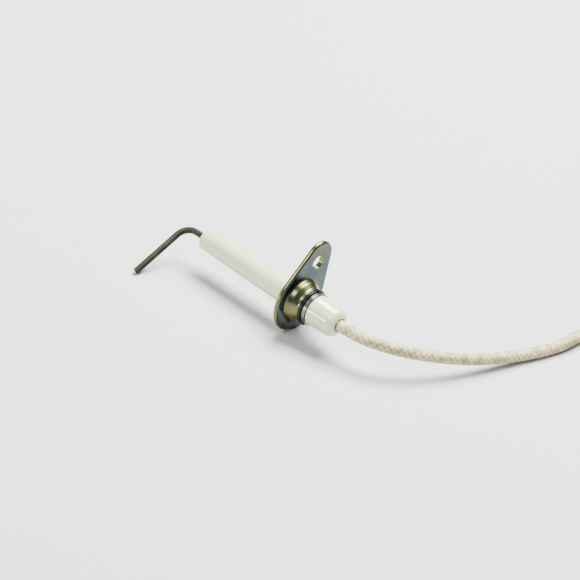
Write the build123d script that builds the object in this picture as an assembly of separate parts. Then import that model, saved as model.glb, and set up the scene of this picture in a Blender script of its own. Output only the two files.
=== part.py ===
from build123d import *
import math
import os

# Ignition electrode for a gas burner: a bent spark rod in a glazed ceramic insulator, a pressed
# flange that turns on it, and a high-voltage lead that ends in a 6.3 mm push-on terminal.
# Frame: millimetres, +X rearwards along the ceramic's axis, +Z up. The origin is on that axis, in
# the flange's seating face. The surface that the electrode lies on is one flange radius below.

# ---- Sizes that other pieces are fitted to ----
body_radius = 4.7
rod_radius = 1.0
lead_radius = 1.75

# ---- Fits between the pieces ----
swivel_clearance = 0.08
face_clearance = 0.05
push_clearance = 0.02
drop_in_clearance = 0.1
cement_gap = 0.4

# ---- Flange: a teardrop plate with a drawn cup on its rear, necked in towards the ceramic ----
sheet_thickness = 1.5
flange_radius = 10.0
tab_end_radius = 5.25
tab_end_distance = 13.4
screw_hole_radius = 2.2
screw_hole_distance = 12.1
tab_angle = 66.2
flange_edge_round = 0.7
cup_length = 5.25
cup_rim_width = 0.57
cup_drop = 1.45
cup_draft = 0.35
cup_shoulder = 3.0
cup_neck = 4.5
cup_neck_rise = 0.05
cup_root_fillet = 0.6
cup_shoulder_round = 1.2
cup_neck_fillet = 0.9
cup_end_round = 0.15
cup_wall = 0.8
cup_inner_shoulder = 2.6
cup_inner_neck = 3.6

# ---- Ceramic insulator ----
nose_length = 37.0
nose_root_radius = 4.05
nose_tip_radius = 3.35
nose_tip_round = 1.2
shoulder_recess = 0.6
shoulder_round = 0.4
groove_depth = 0.25
rear_length = 16.7
rear_swell = 0.02
rear_taper = 0.44
rear_end_round = 2.0
chamber_front = -8.0

# ---- Rings that hold the flange on the ceramic ----
spring_ring_thickness = 1.1
spring_ring_width = 0.9
spring_ring_round = 0.3
spring_ring_gap = 1.4
spring_ring_angle = 231.5
retaining_ring_thickness = 1.1
retaining_ring_stand = 0.4
retaining_ring_play = 0.25
retaining_ring_gap = 0.8
retaining_ring_angle = 285.0

# ---- Spark rod ----
rod_corner = -44.7
rod_bend_radius = 4.0
rod_leg = 21.5
rod_end_chamfer = 0.15
rod_rear = 0.9

# ---- Joint of rod and conductor inside the ceramic ----
cement_length = 4.0
ferrule_front = -4.0
ferrule_length = 12.0
conductor_radius = 0.68
conductor_in_ferrule = 5.4
potting_length = 4.5
potting_recess = 0.25

# ---- High-voltage lead ----
floor_clearance = 0.05
turn_gap = 0.1
coil_radius = 20.5
coil_turns = 3.5
coil_lead_in = 13.0
tie_thickness = 0.6
tie_width = 2.6
tie_angle = 60.0
tie_head_length = 4.6
tie_head_width = 4.2
tie_head_height = 2.6
tie_clearance = 0.1

# ---- Push-on terminal for a 6.3 x 0.8 mm tab, and its sleeve ----
tab_width = 6.3
terminal_sheet = 0.4
insulation_barrel_length = 3.0
insulation_barrel_inset = 0.5
conductor_end_length = 4.5
conductor_barrel_start = 0.8
conductor_barrel_length = 3.5
terminal_step = 0.1
terminal_strip_width = 1.6
receptacle_start = 6.2
receptacle_length = 8.0
receptacle_curl = 1.45
sleeve_wall = 0.7
sleeve_neck_start = -9.2
sleeve_chamber_start = -4.2
sleeve_mouth = 16.4
sleeve_bore_clearance = 0.5
sleeve_barrel_clearance = 0.13
sleeve_side_clearance = 0.85
sleeve_corner = 1.2

# ---- Sizes and places worked out from the sizes above ----
cup_end_radius = body_radius + swivel_clearance + cup_rim_width
cup_root_radius = cup_end_radius + cup_drop
cup_hollow_radius = cup_root_radius - cup_wall
rear_root_radius = body_radius + rear_swell
rear_end_radius = rear_root_radius - rear_taper
retaining_ring_radius = body_radius + retaining_ring_stand
rod_bore_radius = rod_radius + drop_in_clearance
chamber_radius = lead_radius + cement_gap
ferrule_radius = chamber_radius - cement_gap
barrel_radius = lead_radius + push_clearance + terminal_sheet
sleeve_chamber_height = 2 * (barrel_radius + sleeve_barrel_clearance)
sleeve_chamber_width = tab_width + 2 * (terminal_sheet + sleeve_side_clearance)
floor_z = -flange_radius
lead_floor_z = floor_z + lead_radius + floor_clearance
turn_pitch = 2 * lead_radius + turn_gap
coil_bottom = floor_z + tie_thickness + 2 * floor_clearance
coil_low_z = coil_bottom + turn_pitch / 2
coil_high_z = coil_low_z + turn_pitch
coil_outer_lane = coil_radius + turn_pitch / 2
rod_leg_angle = 180 + math.degrees(
    math.asin(flange_radius / math.hypot(rod_leg, rod_radius)) - math.atan2(rod_radius, rod_leg)
)

# ---- Route of the lead, in points chosen by hand ----
exit_point = (rear_length, 0, 0)
coil_entry = (54.4, 70.0, coil_low_z)
coil_centre = (coil_entry[0] + coil_outer_lane, coil_entry[1] + coil_lead_in)
terminal_z = floor_z + lead_radius + sleeve_bore_clearance + sleeve_wall + 2 * floor_clearance
run_points = [
    exit_point,
    (25.4, 0, 0),
    (33.8, 3.7, -0.5),
    (40.6, 11.6, -2.2),
    (46.4, 24.6, -5.2),
    (50.9, 41.0, -7.6),
    (53.6, 56.0, lead_floor_z),
    (54.4, 63.0, coil_low_z),
    coil_entry,
]
tail_x = coil_centre[0] + coil_outer_lane
coil_exit = (tail_x, 57.5, terminal_z)
coil_out_points = [
    (tail_x, coil_centre[1], coil_high_z),
    (tail_x, 72.8, coil_high_z),
    (tail_x, 64.8, terminal_z),
    coil_exit,
]
tail_end = (tail_x, 36.0, terminal_z)


def turned(profile):
    """Turn a closed outline of (x, radius) corners about the X axis."""
    return revolve(make_face(Polyline(*profile, close=True)), axis=Axis.X)


def tube(x_start, x_end, outer, inner):
    """A plain tube on the X axis."""
    return turned([(x_start, inner), (x_end, inner), (x_end, outer), (x_start, outer)])


def rod(x_start, x_end, radius):
    """A plain round bar on the X axis."""
    return turned([(x_start, 0), (x_end, 0), (x_end, radius), (x_start, radius)])


def rims(part, x, radius):
    """The circular edges of a turned part at one place and radius."""
    circles = part.edges().filter_by(GeomType.CIRCLE)
    return [
        edge for edge in circles
        if abs(edge.arc_center.X - x) < 0.01 and abs(edge.radius - radius) < 0.01
    ]


def around_x(angle, part):
    """Turn a part about the X axis, from +Y towards +Z."""
    return Rot(X=angle) * part


# ---- Flange ----
def cup_inside(gap):
    """Corners (x, radius) of the cup's hollow, or of what stands inside it with a gap all round."""
    return [
        (cup_inner_shoulder - gap, cup_hollow_radius - cup_draft - gap),
        (cup_inner_neck - gap, body_radius + swivel_clearance - gap),
    ]


def make_flange():
    big_end = Circle(flange_radius)
    small_end = Pos(tab_end_distance, 0) * Circle(tab_end_radius)
    outline = make_hull((big_end + small_end).edges())
    plate = extrude(Plane.YZ * outline, sheet_thickness)
    outline_edges = [
        edge for edge in plate.edges() if abs(edge.bounding_box().size.X) < 0.01
    ]
    plate = fillet(outline_edges, flange_edge_round)
    shoulder_radius = cup_root_radius - cup_draft
    neck_radius = cup_end_radius + cup_neck_rise
    cup = turned([
        (0, 0),
        (0, cup_root_radius),
        (sheet_thickness, cup_root_radius),
        (cup_shoulder, shoulder_radius),
        (cup_neck, neck_radius),
        (cup_length, cup_end_radius),
        (cup_length, 0),
    ])
    hollow = turned([
        (0, 0),
        (0, cup_hollow_radius),
        *cup_inside(0),
        (cup_length, body_radius + swivel_clearance),
        (cup_length, 0),
    ])
    hole = Plane.YZ * Pos(screw_hole_distance, 0) * Circle(screw_hole_radius)
    flange = plate + cup - hollow - extrude(hole, sheet_thickness)
    flange = fillet(rims(flange, sheet_thickness, cup_root_radius), cup_root_fillet)
    flange = fillet(rims(flange, cup_shoulder, shoulder_radius), cup_shoulder_round)
    flange = fillet(rims(flange, cup_neck, neck_radius), cup_neck_fillet)
    flange = fillet(rims(flange, cup_length, cup_end_radius), cup_end_round)
    return around_x(tab_angle, flange)


# ---- Ceramic insulator ----
groove_front = cup_length + 2 * face_clearance + spring_ring_thickness
groove_rear = groove_front + retaining_ring_thickness + retaining_ring_play


def make_insulator():
    draft_at_rim = cup_draft * shoulder_recess / cup_inner_shoulder
    front_rim = cup_hollow_radius - draft_at_rim - swivel_clearance
    outside = turned([
        (-nose_length, 0),
        (-nose_length, nose_tip_radius),
        (shoulder_recess, nose_root_radius),
        (shoulder_recess, front_rim),
        *cup_inside(swivel_clearance),
        (groove_front, body_radius),
        (groove_front, body_radius - groove_depth),
        (groove_rear, body_radius - groove_depth),
        (groove_rear, rear_root_radius),
        (rear_length, rear_end_radius),
        (rear_length, 0),
    ])
    outside = fillet(rims(outside, -nose_length, nose_tip_radius), nose_tip_round)
    outside = fillet(rims(outside, shoulder_recess, front_rim), shoulder_round)
    outside = fillet(rims(outside, rear_length, rear_end_radius), rear_end_round)
    rod_bore = rod(-nose_length, chamber_front, rod_bore_radius)
    chamber = rod(chamber_front, rear_length, chamber_radius)
    return outside - rod_bore - chamber


# ---- Rings ----
def split_at(angle, ring, gap):
    """Cut a gap through a ring and turn the gap to an angle from +Y towards +Z."""
    size = ring.bounding_box().size
    cutter = Pos(ring.center().X, size.Y / 2, 0) * Box(2 * size.X, size.Y, gap)
    return around_x(angle, ring - cutter)


def make_spring_ring():
    inner = body_radius + push_clearance
    start = cup_length + face_clearance
    outer = inner + spring_ring_width
    ring = tube(start, start + spring_ring_thickness, outer, inner)
    ring = fillet(rims(ring, start, outer) + rims(ring, start + spring_ring_thickness, outer),
                  spring_ring_round)
    return split_at(spring_ring_angle, ring, spring_ring_gap)


def make_retaining_ring():
    inner = body_radius - groove_depth + push_clearance
    start = groove_front + face_clearance / 2
    ring = tube(start, start + retaining_ring_thickness, retaining_ring_radius, inner)
    return split_at(retaining_ring_angle, ring, retaining_ring_gap)


# ---- Spark rod and what joins it to the lead ----
def make_rod():
    angle = math.radians(rod_leg_angle)
    tip = (rod_corner, rod_leg * math.cos(angle), rod_leg * math.sin(angle))
    path = FilletPolyline((rod_rear, 0, 0), (rod_corner, 0, 0), tip, radius=rod_bend_radius)
    bar = sweep(Plane(path ^ 0) * Circle(rod_radius), path=path)
    circles = bar.edges().filter_by(GeomType.CIRCLE)
    tip_rim = [edge for edge in circles if (edge.arc_center - Vector(*tip)).length < 0.01]
    return chamfer(tip_rim, rod_end_chamfer)


def make_cement():
    inner = rod_radius + push_clearance
    return tube(chamber_front, chamber_front + cement_length - push_clearance,
                chamber_radius - push_clearance, inner)


def make_ferrule():
    rear = ferrule_front + ferrule_length
    step = rod_rear + drop_in_clearance
    return turned([
        (ferrule_front, rod_radius + push_clearance),
        (step, rod_radius + push_clearance),
        (step, conductor_radius + push_clearance),
        (rear, conductor_radius + push_clearance),
        (rear, ferrule_radius),
        (ferrule_front, ferrule_radius),
    ])


lead_start = ferrule_front + ferrule_length + drop_in_clearance


def make_conductor_front():
    rear = ferrule_front + ferrule_length
    return rod(rear - conductor_in_ferrule, lead_start, conductor_radius)


def make_lead_entry():
    return rod(lead_start, rear_length, lead_radius)


def make_potting():
    rear = rear_length - potting_recess
    return tube(rear - potting_length, rear, chamber_radius - push_clearance,
                lead_radius + push_clearance)


# ---- Lead ----
def corner_radii(points):
    """The largest tangent arc for each corner: 0.45 of its shorter run, over tan of half the turn."""
    radii = []
    for before, corner, after in zip(points, points[1:], points[2:]):
        run_in = Vector(*corner) - Vector(*before)
        run_out = Vector(*after) - Vector(*corner)
        half_turn = math.radians(run_in.get_angle(run_out) / 2)
        radii.append(0.45 * min(run_in.length, run_out.length) / math.tan(half_turn))
    return radii


def lead_tube(name, points):
    """A tube of the lead's diameter along straight runs joined by tangent arcs."""
    radii = corner_radii(points)
    path = FilletPolyline(*points, radius=radii)
    solid = sweep(Plane(path ^ 0) * Circle(lead_radius), path=path)
    section = math.pi * lead_radius ** 2
    share = solid.volume / (section * path.length)
    print(name, "length", round(path.length, 1), "radii", [round(r, 1) for r in radii],
          "volume share", round(share, 4))
    return solid


def make_lead_coil():
    """The outer shape of two layers of two turns, with a straight lead-in and a dropping lead-out."""
    side = 2 * turn_pitch
    section = Pos(coil_radius, 0) * RectangleRounded(side, side, lead_radius)
    middle = (coil_low_z + coil_high_z) / 2
    ring = Pos(coil_centre[0], coil_centre[1], middle) * revolve(Plane.XZ * section, axis=Axis.Z)
    lead_in = extrude(Plane(coil_entry, z_dir=(0, 1, 0)) * Circle(lead_radius), coil_lead_in)
    coil = ring + lead_in + lead_tube("coil_out", coil_out_points)
    turns_length = coil_turns * 2 * math.pi * coil_radius
    print("coil length", round(coil_lead_in + turns_length, 1))
    return coil


def make_lead_tail():
    """The last straight stretch, which the sleeve slides along."""
    length = coil_exit[1] - tail_end[1]
    return extrude(Plane(coil_exit, z_dir=(0, -1, 0)) * Circle(lead_radius), length)


def make_coil_tie():
    """A nylon tie: a flat band round the four turns, with its head on the top."""
    inner = 2 * turn_pitch + 2 * tie_clearance
    outer = inner + 2 * tie_thickness
    corner = lead_radius
    band = RectangleRounded(outer, outer, corner + tie_thickness) - RectangleRounded(inner, inner, corner)
    loop = extrude(Plane.XZ * band, tie_width / 2, both=True)
    head = Box(tie_head_length, tie_head_width, tie_head_height)
    head = Pos(0, 0, (outer + tie_head_height) / 2) * head
    head = fillet(head.edges().filter_by(Axis.Z), 0.5)
    tie = loop + head
    middle = (coil_low_z + coil_high_z) / 2
    place = Pos(coil_centre[0], coil_centre[1], middle) * Rot(Z=tie_angle) * Pos(coil_radius, 0, 0)
    return place * tie


# ---- Terminal: drawn on the X axis from the lead's end, then placed on the tail ----
def on_tail(part):
    """Carry a part from the X axis to the lead's far end, where the lead runs along -Y."""
    return Pos(*tail_end) * Rot(Z=-90) * part


def terminal_strip(x_start, x_end, z_low, z_high, width):
    """A flat stretch of the terminal's sheet."""
    middle = ((x_start + x_end) / 2, 0, (z_low + z_high) / 2)
    return Pos(*middle) * Box(x_end - x_start, width, z_high - z_low)


def make_terminal():
    """Sheet-metal receptacle: a barrel on the lead, a barrel on the conductor, and a curled mouth."""
    lead_grip = lead_radius + push_clearance
    conductor_grip = conductor_radius + push_clearance
    barrel_end = -insulation_barrel_inset
    insulation_barrel = tube(barrel_end - insulation_barrel_length, barrel_end,
                             lead_grip + terminal_sheet, lead_grip)
    conductor_barrel = tube(conductor_barrel_start, conductor_barrel_start + conductor_barrel_length,
                            conductor_grip + terminal_sheet, conductor_grip)
    # A strip runs on from the lead's barrel, steps up past the end of the lead and carries the rest.
    low_strip = terminal_strip(barrel_end - terminal_sheet, terminal_step + terminal_sheet,
                               -lead_grip - terminal_sheet, -lead_grip, terminal_strip_width)
    step = terminal_strip(terminal_step, terminal_step + terminal_sheet,
                          -lead_grip - terminal_sheet, -conductor_grip, terminal_strip_width)
    floor_bottom = -conductor_grip - terminal_sheet
    high_strip = terminal_strip(terminal_step, receptacle_start + terminal_sheet,
                                floor_bottom, -conductor_grip, terminal_strip_width)
    floor_width = tab_width + 2 * terminal_sheet
    plate = terminal_strip(receptacle_start, receptacle_start + receptacle_length,
                           floor_bottom, -conductor_grip, floor_width - 2 * receptacle_curl)
    terminal = insulation_barrel + conductor_barrel + low_strip + step + high_strip + plate
    for side in (1, -1):
        ring = Circle(receptacle_curl) - Circle(receptacle_curl - terminal_sheet)
        # The curl is open on its inner side, where the mating tab slides in above the plate.
        mouth = Pos(-side * receptacle_curl, 0) * Rectangle(2 * receptacle_curl, receptacle_curl)
        centre = Pos(side * (floor_width / 2 - receptacle_curl), floor_bottom + receptacle_curl)
        curl = extrude(Plane.YZ * (centre * (ring - mouth)), receptacle_length)
        terminal = terminal + Pos(receptacle_start, 0, 0) * curl
    return on_tail(terminal)


def make_conductor_end():
    return on_tail(rod(0, conductor_end_length, conductor_radius))


def make_terminal_sleeve():
    width = sleeve_chamber_width + 2 * sleeve_wall
    height = sleeve_chamber_height + 2 * sleeve_wall
    chamber_length = sleeve_mouth - sleeve_chamber_start
    box_start = sleeve_chamber_start - sleeve_wall
    outline = Plane.YZ * RectangleRounded(width, height, sleeve_corner + sleeve_wall)
    hollow = Plane.YZ * RectangleRounded(sleeve_chamber_width, sleeve_chamber_height, sleeve_corner)
    body = Pos(box_start, 0, 0) * extrude(outline, sleeve_mouth - box_start)
    neck_radius = lead_radius + sleeve_bore_clearance
    neck = rod(sleeve_neck_start, box_start, neck_radius + sleeve_wall)
    sleeve = body + neck
    sleeve = sleeve - Pos(sleeve_chamber_start, 0, 0) * extrude(hollow, chamber_length)
    sleeve = sleeve - rod(sleeve_neck_start, sleeve_chamber_start, neck_radius)
    return on_tail(sleeve)


pieces = {
    "flange_plate": make_flange(),
    "ceramic_insulator": make_insulator(),
    "spring_ring": make_spring_ring(),
    "retaining_ring": make_retaining_ring(),
    "electrode_rod": make_rod(),
    "rod_cement": make_cement(),
    "crimp_ferrule": make_ferrule(),
    "conductor_front": make_conductor_front(),
    "lead_entry": make_lead_entry(),
    "rear_potting": make_potting(),
    "lead_run": lead_tube("lead_run", run_points),
    "lead_coil": make_lead_coil(),
    "coil_tie": make_coil_tie(),
    "lead_tail": make_lead_tail(),
    "conductor_end": make_conductor_end(),
    "blade_terminal": make_terminal(),
    "terminal_sleeve": make_terminal_sleeve(),
}

os.makedirs("parts", exist_ok=True)
for name, piece in pieces.items():
    export_step(piece, f"parts/{name}.step")
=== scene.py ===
import math

import bpy
from mathutils import Matrix, Vector


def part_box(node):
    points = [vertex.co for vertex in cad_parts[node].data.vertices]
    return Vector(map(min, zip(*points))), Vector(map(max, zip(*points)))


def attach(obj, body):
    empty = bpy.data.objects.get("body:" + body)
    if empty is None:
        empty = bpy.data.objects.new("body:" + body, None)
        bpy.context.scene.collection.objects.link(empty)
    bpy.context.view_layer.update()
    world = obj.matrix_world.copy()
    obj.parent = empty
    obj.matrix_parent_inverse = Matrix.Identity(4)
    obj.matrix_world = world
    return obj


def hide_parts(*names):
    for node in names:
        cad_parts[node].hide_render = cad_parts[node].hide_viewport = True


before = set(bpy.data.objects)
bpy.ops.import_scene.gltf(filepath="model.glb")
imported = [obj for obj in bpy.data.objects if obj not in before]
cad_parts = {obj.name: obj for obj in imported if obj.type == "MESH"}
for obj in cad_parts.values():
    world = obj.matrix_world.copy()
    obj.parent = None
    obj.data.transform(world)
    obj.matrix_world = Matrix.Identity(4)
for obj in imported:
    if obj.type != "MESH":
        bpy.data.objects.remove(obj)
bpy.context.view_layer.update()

bl_info = {
    "name": "Ignition electrode",
    "version": (1, 0, 0),
    "blender": (4, 5, 0),
    "location": "View3D > Sidebar > Electrode",
    "description": "Dresses a gas burner's ignition electrode: ceramic, rod, flange, rings and lead",
    "category": "Object",
}

MM = 0.001
FLOOR_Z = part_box("flange_plate")[0].z
FLOOR_GAP = 0.02 * MM
SENSOR_WIDTH = 36
# How far the camera's aim lies from the flange: along the ceramic, to the left and upwards.
AIM_ALONG = 0.3 * MM
AIM_LEFT = 2.1 * MM
AIM_UP = 2.3 * MM
PANEL_TAB = "Electrode"


# ---------------------------------------------------------------- materials

def linear(hex_colour):
    """An sRGB hex colour such as '#c8c4b0' as linear red, green, blue and an alpha of 1."""
    channels = [int(hex_colour[place:place + 2], 16) / 255 for place in (1, 3, 5)]
    return [c / 12.92 if c <= 0.04045 else ((c + 0.055) / 1.055) ** 2.4 for c in channels] + [1.0]


def add_node(tree, kind, settings=None, links=None):
    """Add a node, set its sockets or attributes by name or socket number, and link its inputs."""
    new = tree.nodes.new(kind)
    for name, value in (settings or {}).items():
        if isinstance(name, str) and name not in new.inputs:
            setattr(new, name, value)
        else:
            new.inputs[name].default_value = value
    for name, source in (links or {}).items():
        tree.links.new(source, new.inputs[name])
    return new


def new_material(name):
    """An empty node material, ready for its shader."""
    material = bpy.data.materials.new(name)
    material.use_nodes = True
    material.node_tree.nodes.clear()
    return material, material.node_tree


def finish_material(tree, shader):
    """Link the shader to the material's output."""
    add_node(tree, "ShaderNodeOutputMaterial", links={"Surface": shader.outputs[0]})


def dress(piece, material):
    """Give a piece, or a CAD node, one material all over."""
    piece.data.materials.clear()
    piece.data.materials.append(material)


def glazed_steatite(settings):
    """Steatite under a clear fired glaze: creamy white, mirror-sharp highlights, faint waviness."""
    material, tree = new_material("glazed_steatite")
    place = add_node(tree, "ShaderNodeTexCoord")
    cloud = add_node(tree, "ShaderNodeTexNoise", {"Scale": 1 / (9 * MM), "Detail": 3.0},
                     {"Vector": place.outputs["Object"]})
    body = add_node(tree, "ShaderNodeMix", {"data_type": "RGBA", 6: linear(settings.ceramic_light),
                                            7: linear(settings.ceramic_warm)},
                    {0: cloud.outputs["Fac"]})
    # Iron specks in the fired body, a few tenths of a millimetre across.
    speck = add_node(tree, "ShaderNodeTexVoronoi", {"Scale": 1 / (3.4 * MM)},
                     {"Vector": place.outputs["Object"]})
    speck_size = add_node(tree, "ShaderNodeMapRange", {"From Min": 0.045, "From Max": 0.075},
                          {"Value": speck.outputs["Distance"]})
    colour = add_node(tree, "ShaderNodeMix", {"data_type": "RGBA", 6: linear("#b9b19c")},
                      {0: speck_size.outputs[0], 7: body.outputs[2]})
    wave = add_node(tree, "ShaderNodeTexNoise", {"Scale": 1 / (2.2 * MM), "Detail": 1.0},
                    {"Vector": place.outputs["Object"]})
    bump = add_node(tree, "ShaderNodeBump", {"Strength": 0.05, "Distance": 0.05 * MM},
                    {"Height": wave.outputs["Fac"]})
    shader = add_node(tree, "ShaderNodeBsdfPrincipled",
                      {"Roughness": 0.16, "IOR": 1.54, "Coat Weight": 0.6, "Coat Roughness": 0.04},
                      {"Base Color": colour.outputs[2], "Normal": bump.outputs[0]})
    finish_material(tree, shader)
    return material


def passivated_zinc(settings):
    """Zinc plate under a thin chromate film, with a painted interference colour: blue-grey on the
    flat, yellow on rims and drawn parts.
    """
    material, tree = new_material("passivated_zinc_steel")
    place = add_node(tree, "ShaderNodeTexCoord")
    # Painted interference colour: blue-grey on the faces that point along the electrode, yellow on
    # rims and cup, set by face direction in place of the film's colour that changes with the viewing
    # angle.
    facing = add_node(tree, "ShaderNodeSeparateXYZ", links={"Vector": place.outputs["Normal"]})
    along = add_node(tree, "ShaderNodeMath", {"operation": "ABSOLUTE"}, {0: facing.outputs["X"]})
    flat = add_node(tree, "ShaderNodeMapRange", {"From Min": 0.7, "From Max": 0.97},
                    {"Value": along.outputs[0]})
    film = add_node(tree, "ShaderNodeMix", {"data_type": "RGBA", 6: linear(settings.zinc_yellow),
                                            7: linear(settings.zinc_blue)},
                    {0: flat.outputs[0]})
    patch = add_node(tree, "ShaderNodeTexNoise", {"Scale": 1 / (5 * MM), "Detail": 3.0},
                     {"Vector": place.outputs["Object"]})
    spread = add_node(tree, "ShaderNodeMapRange", {"From Min": 0.42, "From Max": 0.62, "To Max": 0.55},
                      {"Value": patch.outputs["Fac"]})
    patched = add_node(tree, "ShaderNodeMix", {"data_type": "RGBA", 7: linear(settings.zinc_patch)},
                       {0: spread.outputs[0], 6: film.outputs[2]})
    # The film is thicker and yellower towards the flange's narrow end.
    reach = add_node(tree, "ShaderNodeVectorMath", {"operation": "LENGTH"},
                     {0: place.outputs["Object"]})
    drained = add_node(tree, "ShaderNodeMapRange",
                       {"From Min": 11 * MM, "From Max": 18 * MM, "To Max": 0.35},
                       {"Value": reach.outputs["Value"]})
    tint = add_node(tree, "ShaderNodeMix", {"data_type": "RGBA", 7: linear(settings.zinc_yellow)},
                    {0: drained.outputs[0], 6: patched.outputs[2]})
    # Fine grain of the plating, and cloudy stretches where it is duller.
    grain = add_node(tree, "ShaderNodeTexNoise", {"Scale": 1 / (0.3 * MM), "Detail": 4.0},
                     {"Vector": place.outputs["Object"]})
    cloud = add_node(tree, "ShaderNodeTexNoise", {"Scale": 1 / (2.5 * MM), "Detail": 3.0},
                     {"Vector": place.outputs["Object"]})
    rough = add_node(tree, "ShaderNodeMapRange", {"To Min": 0.2, "To Max": 0.38},
                     {"Value": cloud.outputs["Fac"]})
    bump = add_node(tree, "ShaderNodeBump", {"Strength": 0.1, "Distance": 0.02 * MM},
                    {"Height": grain.outputs["Fac"]})
    shader = add_node(tree, "ShaderNodeBsdfPrincipled", {"Metallic": 1.0},
                      {"Base Color": tint.outputs[2], "Roughness": rough.outputs[0],
                       "Normal": bump.outputs[0]})
    finish_material(tree, shader)
    return material


def plain_metal(name, colour, roughness, grain_mm):
    """A metal of one colour with a fine grain that breaks up its highlight."""
    material, tree = new_material(name)
    place = add_node(tree, "ShaderNodeTexCoord")
    grain = add_node(tree, "ShaderNodeTexNoise", {"Scale": 1 / (grain_mm * MM), "Detail": 3.0},
                     {"Vector": place.outputs["Object"]})
    rough = add_node(tree, "ShaderNodeMapRange",
                     {"To Min": roughness * 0.75, "To Max": roughness * 1.25},
                     {"Value": grain.outputs["Fac"]})
    bump = add_node(tree, "ShaderNodeBump", {"Strength": 0.15, "Distance": 0.02 * MM},
                    {"Height": grain.outputs["Fac"]})
    shader = add_node(tree, "ShaderNodeBsdfPrincipled",
                      {"Base Color": linear(colour), "Metallic": 1.0},
                      {"Roughness": rough.outputs[0], "Normal": bump.outputs[0]})
    finish_material(tree, shader)
    return material


def oxidised_wire(settings):
    """Drawn iron-chromium-aluminium wire with a fired oxide skin: dark olive brown, in patches."""
    material, tree = new_material("oxidised_resistance_wire")
    place = add_node(tree, "ShaderNodeTexCoord")
    patch = add_node(tree, "ShaderNodeTexNoise", {"Scale": 1 / (3.5 * MM), "Detail": 3.0},
                     {"Vector": place.outputs["Object"]})
    spread = add_node(tree, "ShaderNodeMapRange", {"From Min": 0.35, "From Max": 0.65},
                      {"Value": patch.outputs["Fac"]})
    tint = add_node(tree, "ShaderNodeMix", {"data_type": "RGBA", 6: linear(settings.rod_dark),
                                            7: linear(settings.rod_light)},
                    {0: spread.outputs[0]})
    grain = add_node(tree, "ShaderNodeTexNoise", {"Scale": 1 / (0.4 * MM), "Detail": 4.0},
                     {"Vector": place.outputs["Object"]})
    bump = add_node(tree, "ShaderNodeBump", {"Strength": 0.2, "Distance": 0.03 * MM},
                    {"Height": grain.outputs["Fac"]})
    shader = add_node(tree, "ShaderNodeBsdfPrincipled",
                      {"Metallic": 0.35, "Roughness": 0.46, "Specular IOR Level": 0.2},
                      {"Base Color": tint.outputs[2], "Normal": bump.outputs[0]})
    finish_material(tree, shader)
    return material


def woven_glass_fibre(settings):
    """Braided glass-fibre yarn with a silicone finish: ivory, with painted shade in the valleys of the
    weave.
    """
    material, tree = new_material("woven_glass_fibre_braid")
    place = add_node(tree, "ShaderNodeTexCoord")
    weave = add_node(tree, "ShaderNodeAttribute", {"attribute_name": "yarn_height"})
    cloud = add_node(tree, "ShaderNodeTexNoise", {"Scale": 1 / (2.4 * MM), "Detail": 2.0},
                     {"Vector": place.outputs["Object"]})
    stain = add_node(tree, "ShaderNodeMapRange", {"From Min": 0.4, "From Max": 0.68},
                     {"Value": cloud.outputs["Fac"]})
    yarn = add_node(tree, "ShaderNodeMix", {"data_type": "RGBA", 6: linear(settings.braid_light),
                                            7: linear(settings.braid_warm)},
                    {0: stain.outputs[0]})
    # Painted shade: the colour darkens towards the valleys between the yarns, where shade falls.
    valley = add_node(tree, "ShaderNodeMapRange", {"From Min": 0.08, "From Max": 0.6},
                      {"Value": weave.outputs["Fac"]})
    colour = add_node(tree, "ShaderNodeMix", {"data_type": "RGBA", 6: linear(settings.braid_valley_shade)},
                      {0: valley.outputs[0], 7: yarn.outputs[2]})
    fibre = add_node(tree, "ShaderNodeTexNoise", {"Scale": 1 / (0.25 * MM), "Detail": 3.0},
                     {"Vector": place.outputs["Object"]})
    bump = add_node(tree, "ShaderNodeBump", {"Strength": 0.35, "Distance": 0.05 * MM},
                    {"Height": fibre.outputs["Fac"]})
    shader = add_node(tree, "ShaderNodeBsdfPrincipled",
                      {"Roughness": 0.55, "IOR": 1.52, "Sheen Weight": 0.25, "Sheen Roughness": 0.4},
                      {"Base Color": colour.outputs[2], "Normal": bump.outputs[0]})
    finish_material(tree, shader)
    return material


def plain_polymer(name, colour, roughness, translucence=0.0):
    """A moulded or cast polymer with faint mottling and a soft surface."""
    material, tree = new_material(name)
    place = add_node(tree, "ShaderNodeTexCoord")
    mottle = add_node(tree, "ShaderNodeTexNoise", {"Scale": 1 / (1.2 * MM), "Detail": 3.0},
                      {"Vector": place.outputs["Object"]})
    rough = add_node(tree, "ShaderNodeMapRange",
                     {"To Min": roughness * 0.85, "To Max": min(1.0, roughness * 1.15)},
                     {"Value": mottle.outputs["Fac"]})
    bump = add_node(tree, "ShaderNodeBump", {"Strength": 0.1, "Distance": 0.03 * MM},
                    {"Height": mottle.outputs["Fac"]})
    shader = add_node(tree, "ShaderNodeBsdfPrincipled",
                      {"Base Color": linear(colour), "IOR": 1.5,
                       "Subsurface Weight": translucence, "Subsurface Scale": 1.0 * MM},
                      {"Roughness": rough.outputs[0], "Normal": bump.outputs[0]})
    finish_material(tree, shader)
    return material


def matt_paper(settings):
    """The studio's paper floor: matt and mid-grey, which the strong key light lifts to near white."""
    material, tree = new_material("matt_grey_paper")
    shader = add_node(tree, "ShaderNodeBsdfPrincipled",
                      {"Base Color": linear(settings.floor_colour), "Roughness": 0.9})
    finish_material(tree, shader)
    return material


# ---------------------------------------------------------------- sizes and colours a user may change
#
# The colours are set for this stage's lights. Most are darker than the real materials, so they need
# to be made lighter for another scene.

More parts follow.
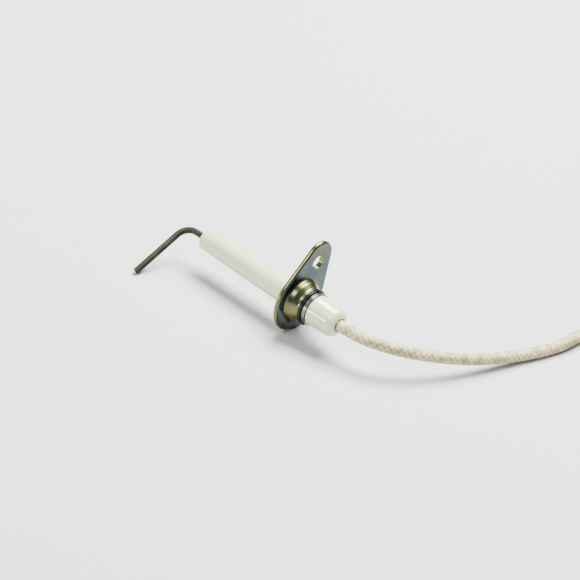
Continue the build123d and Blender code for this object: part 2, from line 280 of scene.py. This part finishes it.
class StageSettings(bpy.types.PropertyGroup):
    azimuth: bpy.props.FloatProperty(
        name="Azimuth", description="Direction of the camera round the electrode", subtype="ANGLE",
        default=math.radians(36.96))
    elevation: bpy.props.FloatProperty(
        name="Elevation", description="Height of the camera over the horizon", subtype="ANGLE",
        default=math.radians(32.42))
    roll: bpy.props.FloatProperty(
        name="Roll", description="How far the camera is tilted to its side", subtype="ANGLE",
        default=math.radians(11.13))
    distance: bpy.props.FloatProperty(
        name="Distance", description="From the camera to the flange", unit="LENGTH", default=0.7)
    view_width: bpy.props.FloatProperty(
        name="View width", description="Width of the view at the flange", unit="LENGTH",
        default=165.7 * MM)
    air_light: bpy.props.FloatProperty(
        name="Air light", description="Strength of the even light from all round", default=0.3)
    floor_colour: bpy.props.StringProperty(
        name="Floor colour", description="sRGB hex colour of the paper floor", default="#b2b2b2")


class CeramicSettings(bpy.types.PropertyGroup):
    ceramic_light: bpy.props.StringProperty(
        name="Light", description="sRGB hex colour of the glazed body", default="#c5caa2")
    ceramic_warm: bpy.props.StringProperty(
        name="Warm", description="sRGB hex colour of its warmer clouds", default="#babf90")


class MetalSettings(bpy.types.PropertyGroup):
    zinc_blue: bpy.props.StringProperty(
        name="Zinc, flat", description="sRGB hex colour of the zinc's flat faces", default="#2c3b3e")
    zinc_yellow: bpy.props.StringProperty(
        name="Zinc, drawn", description="sRGB hex colour of its rims and its cup", default="#65633a")
    zinc_patch: bpy.props.StringProperty(
        name="Zinc, patches", description="sRGB hex colour of its paler patches", default="#48544c")
    rod_dark: bpy.props.StringProperty(
        name="Rod, dark", description="sRGB hex colour of the rod's oxide", default="#1c1a10")
    rod_light: bpy.props.StringProperty(
        name="Rod, light", description="sRGB hex colour of its thin oxide", default="#2c2a1c")


class LeadSettings(bpy.types.PropertyGroup):
    diameter: bpy.props.FloatProperty(
        name="Diameter", description="Over the braid", unit="LENGTH", default=3.5 * MM)
    carriers: bpy.props.IntProperty(
        name="Yarns each way", description="Yarns that run one way round the lead", default=6)
    braid_pitch: bpy.props.FloatProperty(
        name="Braid pitch", description="Length of lead for one turn of a yarn", unit="LENGTH",
        default=11 * MM)
    relief: bpy.props.FloatProperty(
        name="Relief", description="Height of a yarn over the valleys", unit="LENGTH",
        default=0.2 * MM)
    braid_light: bpy.props.StringProperty(
        name="Light", description="sRGB hex colour of the yarn", default="#b9b481")
    braid_warm: bpy.props.StringProperty(
        name="Warm", description="sRGB hex colour of its stained stretches", default="#8c7f4e")
    # The valley colour is painted shade between the yarns.
    braid_valley_shade: bpy.props.StringProperty(
        name="Valley", description="sRGB hex colour between the yarns", default="#4a4228")


# ---------------------------------------------------------------- stage

def camera_axes(settings):
    """The camera's right, up and backward directions in the electrode's frame."""
    azimuth, elevation, roll = settings.azimuth, settings.elevation, settings.roll
    back = Vector((math.sin(azimuth) * math.cos(elevation), -math.cos(azimuth) * math.cos(elevation),
                   math.sin(elevation)))
    level = Vector((math.cos(azimuth), math.sin(azimuth), 0))
    plumb = back.cross(level)
    right = math.cos(roll) * level + math.sin(roll) * plumb
    return right, back.cross(right), back


# Each light's name, place, target, size and power.
LIGHTS = (
    ("key_box", (-0.08, 0.34, 0.74), (0, 0, 0), (0.70, 0.46), 55),
    ("upper_box", (-0.04, -0.60, 0.72), (0, 0, 0), (0.60, 0.18), 9),
    ("front_strip", (-0.42, -0.88, 0.13), (0.012, 0, 0), (0.19, 0.11), 4.2),
)


def area_light(name, place, target, size, power):
    """A soft box at a place, aimed at a target."""
    bpy.ops.object.light_add(type="AREA", location=place)
    light = bpy.context.object
    light.name = name
    light.rotation_euler = (Vector(target) - Vector(place)).to_track_quat("-Z", "Y").to_euler()
    light.data.shape = "RECTANGLE"
    light.data.size, light.data.size_y = size
    light.data.energy = power


class ELECTRODE_OT_stage(bpy.types.Operator):
    """Add the camera, the paper floor and the soft lights"""
    bl_idname = "electrode.stage"
    bl_label = "Stage"

    def execute(self, context):
        settings = context.scene.electrode_stage
        right, up, back = camera_axes(settings)
        # The flange stands a little right of the middle of the view, and a little below it.
        aim = Vector((AIM_ALONG, 0, 0)) - AIM_LEFT * right + AIM_UP * up
        bpy.ops.object.camera_add()
        camera = context.object
        camera.name = "camera"
        place = aim + settings.distance * back
        turn = Matrix((right, up, back)).transposed().to_4x4()
        camera.matrix_world = Matrix.Translation(place) @ turn
        camera.data.sensor_width = SENSOR_WIDTH
        camera.data.lens = SENSOR_WIDTH * settings.distance / settings.view_width
        camera.data.clip_start = 0.01
        context.scene.camera = camera

        bpy.ops.object.select_all(action="DESELECT")
        bpy.ops.mesh.primitive_plane_add(size=6, location=(0, 0, FLOOR_Z - FLOOR_GAP))
        floor = context.object
        floor.name = "paper_floor"
        dress(floor, matt_paper(settings))

        world = bpy.data.worlds.new("studio_air")
        world.use_nodes = True
        world.node_tree.nodes.clear()
        air = add_node(world.node_tree, "ShaderNodeBackground",
                       {"Color": linear("#eef2f6"), "Strength": settings.air_light})
        add_node(world.node_tree, "ShaderNodeOutputWorld", links={"Surface": air.outputs[0]})
        context.scene.world = world
        for light in LIGHTS:
            area_light(*light)
        return {"FINISHED"}


# ---------------------------------------------------------------- lead

COIL_RADIUS = 20.5 * MM
COIL_TURNS = 3.5
POINTS_PER_TURN = 16
COIL_PITCH = 3.6 * MM
# The last share of each turn, over which the lead moves to its next lane.
LANE_CHANGE = 0.2
LOW_LAYER = -7.5 * MM
HIGH_LAYER = -3.9 * MM
# Places along the lead's route, in mm.
COIL_START_X = 54.4
COIL_START_Y = 83.0
TERMINAL_X = 99.0
TERMINAL_Z = -6.95
# The braided tube's rings of vertices.
RING_SPACING = 0.36 * MM
RING_SEGMENTS = 42
# A yarn's height at the lead's nominal radius: the crests stand a little proud of it.
CREST_SHARE = 0.8


def coil_points(centre):
    """The coil's turns: one outer and one inner turn below, one inner turn above, then outwards."""
    points = []
    lanes = [(1, LOW_LAYER), (-1, LOW_LAYER), (-1, HIGH_LAYER), (1, HIGH_LAYER)]
    for step in range(int(COIL_TURNS * POINTS_PER_TURN) + 1):
        turn, part = divmod(step / POINTS_PER_TURN, 1)
        now = lanes[int(turn)]
        following = lanes[min(int(turn) + 1, len(lanes) - 1)]
        ease = max(0.0, (part - (1 - LANE_CHANGE)) / LANE_CHANGE)
        side = now[0] + (following[0] - now[0]) * ease
        height = now[1] + (following[1] - now[1]) * ease
        angle = math.pi - 2 * math.pi * step / POINTS_PER_TURN
        radius = COIL_RADIUS + side * COIL_PITCH / 2
        points.append(centre + Vector((radius * math.cos(angle), radius * math.sin(angle), height)))
    return points


def lead_route():
    """Control points of the whole lead: along the floor, round the coil, and out to the terminal."""
    outer = COIL_RADIUS + COIL_PITCH / 2
    centre = Vector((COIL_START_X * MM + outer, COIL_START_Y * MM, 0))
    run = [
        (16.7, 0, 0),
        (23.4, 0, 0),
        (31.6, 4.6, -0.8),
        (37.1, 10.8, -2.2),
        (42.9, 20.6, -4.2),
        (47.0, 31.4, -6.3),
        (50.8, 45.0, -7.9),
        (53.8, 57.3, -8.2),
        (COIL_START_X, 64.0, -7.5),
        (COIL_START_X, 70.0, -7.5),
    ]
    tail = [
        (TERMINAL_X, 72.8, -3.9),
        (TERMINAL_X, 64.8, TERMINAL_Z),
        (TERMINAL_X, 57.5, TERMINAL_Z),
        (TERMINAL_X, 36.0, TERMINAL_Z),
    ]
    return ([Vector(point) * MM for point in run] + coil_points(centre)
            + [Vector(point) * MM for point in tail])


def route_curve(name, points):
    """A smooth open curve drawn by its control points."""
    curve = bpy.data.curves.new(name, "CURVE")
    curve.dimensions = "3D"
    curve.resolution_u = 16
    spline = curve.splines.new("NURBS")
    spline.points.add(len(points) - 1)
    for control, point in zip(spline.points, points):
        control.co = (*point, 1)
    spline.order_u = 3
    spline.use_endpoint_u = True
    piece = bpy.data.objects.new(name, curve)
    bpy.context.scene.collection.objects.link(piece)
    return piece


def followed_points(curve_piece, spacing):
    """Points along a curve, evenly spaced, read from the curve's own line."""
    line = bpy.data.meshes.new_from_object(
        curve_piece.evaluated_get(bpy.context.evaluated_depsgraph_get()))
    corners = [vertex.co.copy() for vertex in line.vertices]
    bpy.data.meshes.remove(line)
    reach = [0.0]
    for before, after in zip(corners, corners[1:]):
        reach.append(reach[-1] + (after - before).length)
    count = round(reach[-1] / spacing)
    points, index = [], 0
    for number in range(count + 1):
        wanted = reach[-1] * number / count
        while index < len(corners) - 2 and reach[index + 1] < wanted:
            index += 1
        share = (wanted - reach[index]) / (reach[index + 1] - reach[index])
        points.append(corners[index].lerp(corners[index + 1], share))
    return points


def yarn_height(around, along, settings):
    """Height of the braid at a place, 0 in a valley to 1 on a yarn; around is in turns."""
    first = settings.carriers * (around + along / settings.braid_pitch)
    second = settings.carriers * (around - along / settings.braid_pitch)
    over = (math.floor(first) + math.floor(second)) % 2 == 0
    across, lengthwise = (first % 1, second % 1) if over else (second % 1, first % 1)
    return (1 - abs(2 * across - 1) ** 2.5) * (0.62 + 0.38 * math.sin(math.pi * lengthwise))


def braided_tube(name, points, settings):
    """A tube of rings along the points, raised by the braid's yarns, closed at both ends."""
    spacing = (points[1] - points[0]).length
    mean_radius = settings.diameter / 2
    side = (points[1] - points[0]).normalized().orthogonal()
    vertices, heights = [], []
    for index, point in enumerate(points):
        before, after = points[max(index - 1, 0)], points[min(index + 1, len(points) - 1)]
        tangent = (after - before).normalized()
        side = (side - side.dot(tangent) * tangent).normalized()
        other = tangent.cross(side)
        for segment in range(RING_SEGMENTS):
            height = yarn_height(segment / RING_SEGMENTS, index * spacing, settings)
            radius = mean_radius + settings.relief * (height - CREST_SHARE)
            angle = 2 * math.pi * segment / RING_SEGMENTS
            vertices.append(point + radius * (math.cos(angle) * side + math.sin(angle) * other))
            heights.append(height)
    faces = []
    for ring in range(len(points) - 1):
        start = ring * RING_SEGMENTS
        for segment in range(RING_SEGMENTS):
            here, there = start + segment, start + (segment + 1) % RING_SEGMENTS
            faces.append((here, there, there + RING_SEGMENTS, here + RING_SEGMENTS))
    last = (len(points) - 1) * RING_SEGMENTS
    faces.append(tuple(reversed(range(RING_SEGMENTS))))
    faces.append(tuple(range(last, last + RING_SEGMENTS)))
    mesh = bpy.data.meshes.new(name)
    mesh.from_pydata(vertices, [], faces)
    attribute = mesh.attributes.new("yarn_height", "FLOAT", "POINT")
    attribute.data.foreach_set("value", heights)
    mesh.shade_smooth()
    piece = bpy.data.objects.new(name, mesh)
    bpy.context.scene.collection.objects.link(piece)
    return piece


class ELECTRODE_OT_lead(bpy.types.Operator):
    """Add the braided high-voltage lead, with its put-away coil"""
    bl_idname = "electrode.lead"
    bl_label = "Lead"

    def execute(self, context):
        settings = context.scene.electrode_lead
        route = route_curve("lead_route", lead_route())
        points = followed_points(route, RING_SPACING)
        bpy.data.objects.remove(route)
        lead = braided_tube("braided_lead", points, settings)
        dress(lead, woven_glass_fibre(settings))
        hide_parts("lead_run", "lead_coil", "lead_tail")
        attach(lead, "electrode")
        dress(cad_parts["lead_entry"], lead.data.materials[0])
        return {"FINISHED"}


# ---------------------------------------------------------------- the other pieces

class ELECTRODE_OT_ceramic(bpy.types.Operator):
    """Glaze the ceramic insulator"""
    bl_idname = "electrode.ceramic"
    bl_label = "Ceramic"

    def execute(self, context):
        dress(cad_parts["ceramic_insulator"], glazed_steatite(context.scene.electrode_ceramic))
        dress(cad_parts["rod_cement"], plain_polymer("ceramic_cement", "#cfc6b2", 0.9))
        # Silicone potting round the lead's exit; its brown also paints the shade that falls round the
        # exit.
        dress(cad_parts["rear_potting"], plain_polymer("silicone_potting", "#a08a74", 0.45))
        return {"FINISHED"}


class ELECTRODE_OT_metal(bpy.types.Operator):
    """Finish the flange, the rings, the spark rod and the metal inside"""
    bl_idname = "electrode.metal"
    bl_label = "Metal"

    def execute(self, context):
        settings = context.scene.electrode_metal
        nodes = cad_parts
        dress(nodes["flange_plate"], passivated_zinc(settings))
        dress(nodes["electrode_rod"], oxidised_wire(settings))
        dress(nodes["spring_ring"], plain_metal("black_oxide_spring_steel", "#262421", 0.36, 0.4))
        dress(nodes["retaining_ring"], plain_metal("bright_zinc_steel", "#626765", 0.3, 0.4))
        tinned = plain_metal("tinned_brass", "#c9c5b8", 0.3, 0.5)
        for name in ("blade_terminal", "crimp_ferrule", "conductor_front", "conductor_end"):
            dress(nodes[name], tinned)
        return {"FINISHED"}


class ELECTRODE_OT_terminal(bpy.types.Operator):
    """Finish the terminal's sleeve and the coil's tie"""
    bl_idname = "electrode.terminal"
    bl_label = "Terminal"

    def execute(self, context):
        dress(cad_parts["terminal_sleeve"], plain_polymer("silicone_sleeve", "#a8a493", 0.45, 0.1))
        dress(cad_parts["coil_tie"], plain_polymer("natural_nylon", "#c4c3b4", 0.35, 0.2))
        return {"FINISHED"}


STEPS = (ELECTRODE_OT_stage, ELECTRODE_OT_lead, ELECTRODE_OT_ceramic, ELECTRODE_OT_metal,
         ELECTRODE_OT_terminal)
SETTINGS = {"electrode_stage": StageSettings, "electrode_ceramic": CeramicSettings,
            "electrode_metal": MetalSettings, "electrode_lead": LeadSettings}


class ELECTRODE_PT_panel(bpy.types.Panel):
    """The steps that dress the electrode, in their order"""
    bl_label = "Ignition electrode"
    bl_idname = "ELECTRODE_PT_panel"
    bl_space_type = "VIEW_3D"
    bl_region_type = "UI"
    bl_category = PANEL_TAB

    def draw(self, context):
        for step in STEPS:
            self.layout.operator(step.bl_idname)


def register():
    for group in (*SETTINGS.values(), *STEPS, ELECTRODE_PT_panel):
        bpy.utils.register_class(group)
    for name, group in SETTINGS.items():
        setattr(bpy.types.Scene, name, bpy.props.PointerProperty(type=group))


def unregister():
    for name in SETTINGS:
        delattr(bpy.types.Scene, name)
    for group in reversed((*SETTINGS.values(), *STEPS, ELECTRODE_PT_panel)):
        bpy.utils.unregister_class(group)


def main():
    register()
    bpy.ops.electrode.stage()
    bpy.ops.electrode.lead()
    bpy.ops.electrode.ceramic()
    bpy.ops.electrode.metal()
    bpy.ops.electrode.terminal()


if __name__ == "__main__":
    main()
